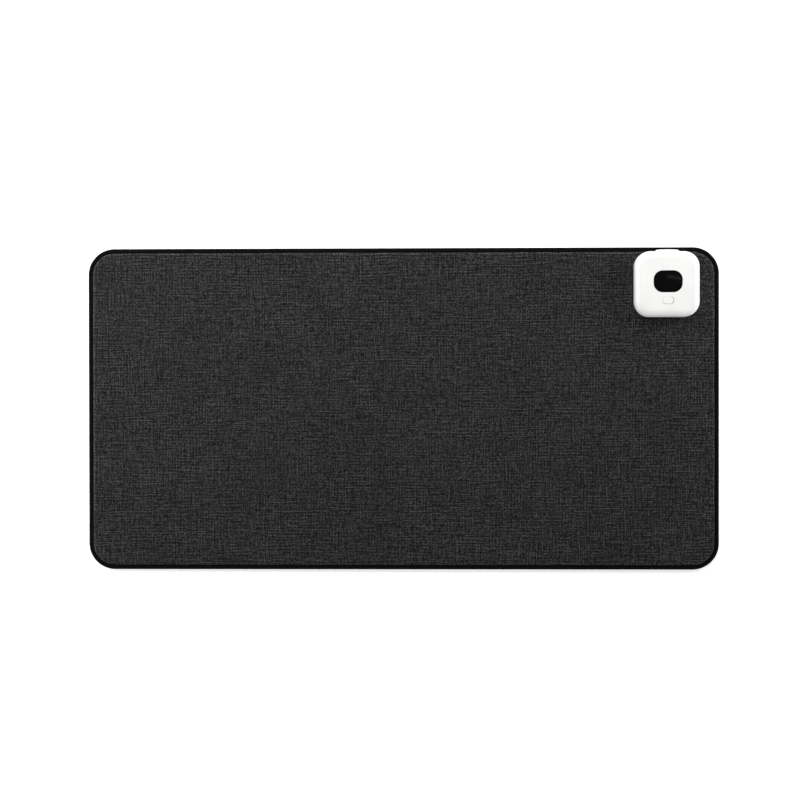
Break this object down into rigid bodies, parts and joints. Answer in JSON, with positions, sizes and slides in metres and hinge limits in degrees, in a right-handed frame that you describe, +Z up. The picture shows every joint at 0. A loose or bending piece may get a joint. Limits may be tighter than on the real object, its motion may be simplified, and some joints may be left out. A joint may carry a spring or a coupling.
{
  "type": "heated desk mat",
  "caption": "Thin rectangular heated desk mat with a woven dark grey cover, a stitched black edge and a white controller with a display window and a push button at one rear corner.",
  "frame": {"origin": "centre of the underside, on the desk", "axes": "+X along the long side towards the controller's end, +Y to the rear, +Z up"},
  "size_m": [0.6, 0.306, 0.0214],
  "materials": {
    "linen_look_cloth": "matte linen-look weave",
    "black_edge_thread": "dense stitching",
    "black_rubber": "matte",
    "grey_foam": "open-cell foam",
    "foil_faced_felt": "felt with a foil face",
    "clear_amber_film": "thin clear film",
    "carbon_print": "printed carbon",
    "copper_foil": "bare foil",
    "tinned_brass": "tinned",
    "zinc_plated_steel": "zinc plated",
    "white_abs": "fine satin",
    "smoked_acrylic": "polished",
    "black_nylon": "satin",
    "green_laminate": "solder mask",
    "black_epoxy": "moulded",
    "aluminium_can": "drawn can",
    "red_silicone": "wire sleeve",
    "black_silicone": "wire sleeve"
  },
  "bodies": {
    "mat": {"fabric_cover": "linen_look_cloth", "edge_binding": "black_edge_thread", "anti_slip_base": "black_rubber", "foam_pad": "grey_foam", "reflective_felt": "foil_faced_felt", "heater_carrier_film": "clear_amber_film", "heater_cover_film": "clear_amber_film", "carbon_grid": "carbon_print", "busbar_rear": "copper_foil", "busbar_front": "copper_foil", "terminal_lug_rear": "tinned_brass", "terminal_lug_front": "tinned_brass", "temperature_sensor": "black_epoxy", "sensor_lead": "black_silicone", "heater_lead_rear": "red_silicone", "heater_lead_front": "black_silicone", "clamp_plate": "black_nylon", "clamp_screw_front_left": "zinc_plated_steel", "clamp_screw_front_right": "zinc_plated_steel", "clamp_screw_rear_left": "zinc_plated_steel", "clamp_screw_rear_right": "zinc_plated_steel", "controller_shell": "white_abs", "controller_floor": "black_nylon", "display_lens": "smoked_acrylic", "display_module": "black_epoxy", "circuit_board": "green_laminate", "board_screw_front_left": "zinc_plated_steel", "board_screw_front_right": "zinc_plated_steel", "board_screw_rear_left": "zinc_plated_steel", "board_screw_rear_right": "zinc_plated_steel", "microcontroller": "black_epoxy", "power_transistor": "black_epoxy", "voltage_regulator": "black_epoxy", "input_capacitor": "aluminium_can", "socket_body": "black_nylon", "socket_pin": "tinned_brass", "socket_contact": "tinned_brass", "switch_body": "black_nylon"},
    "button": {"button_cap": "white_abs"},
    "plunger": {"switch_plunger": "black_nylon"}
  },
  "joints": [
    {"name": "button_press", "type": "slide", "parent": "mat", "child": "button", "axis": [0, 0, -1], "range_m": [0, 0.0004], "stiffness_N_per_m": 4000},
    {"name": "plunger_press", "type": "slide", "parent": "mat", "child": "plunger", "axis": [0, 0, -1], "range_m": [0, 0.0004]}
  ],
  "couplings": [
    {"joint": "plunger_press", "follows": "button_press", "ratio": 1}
  ]
}
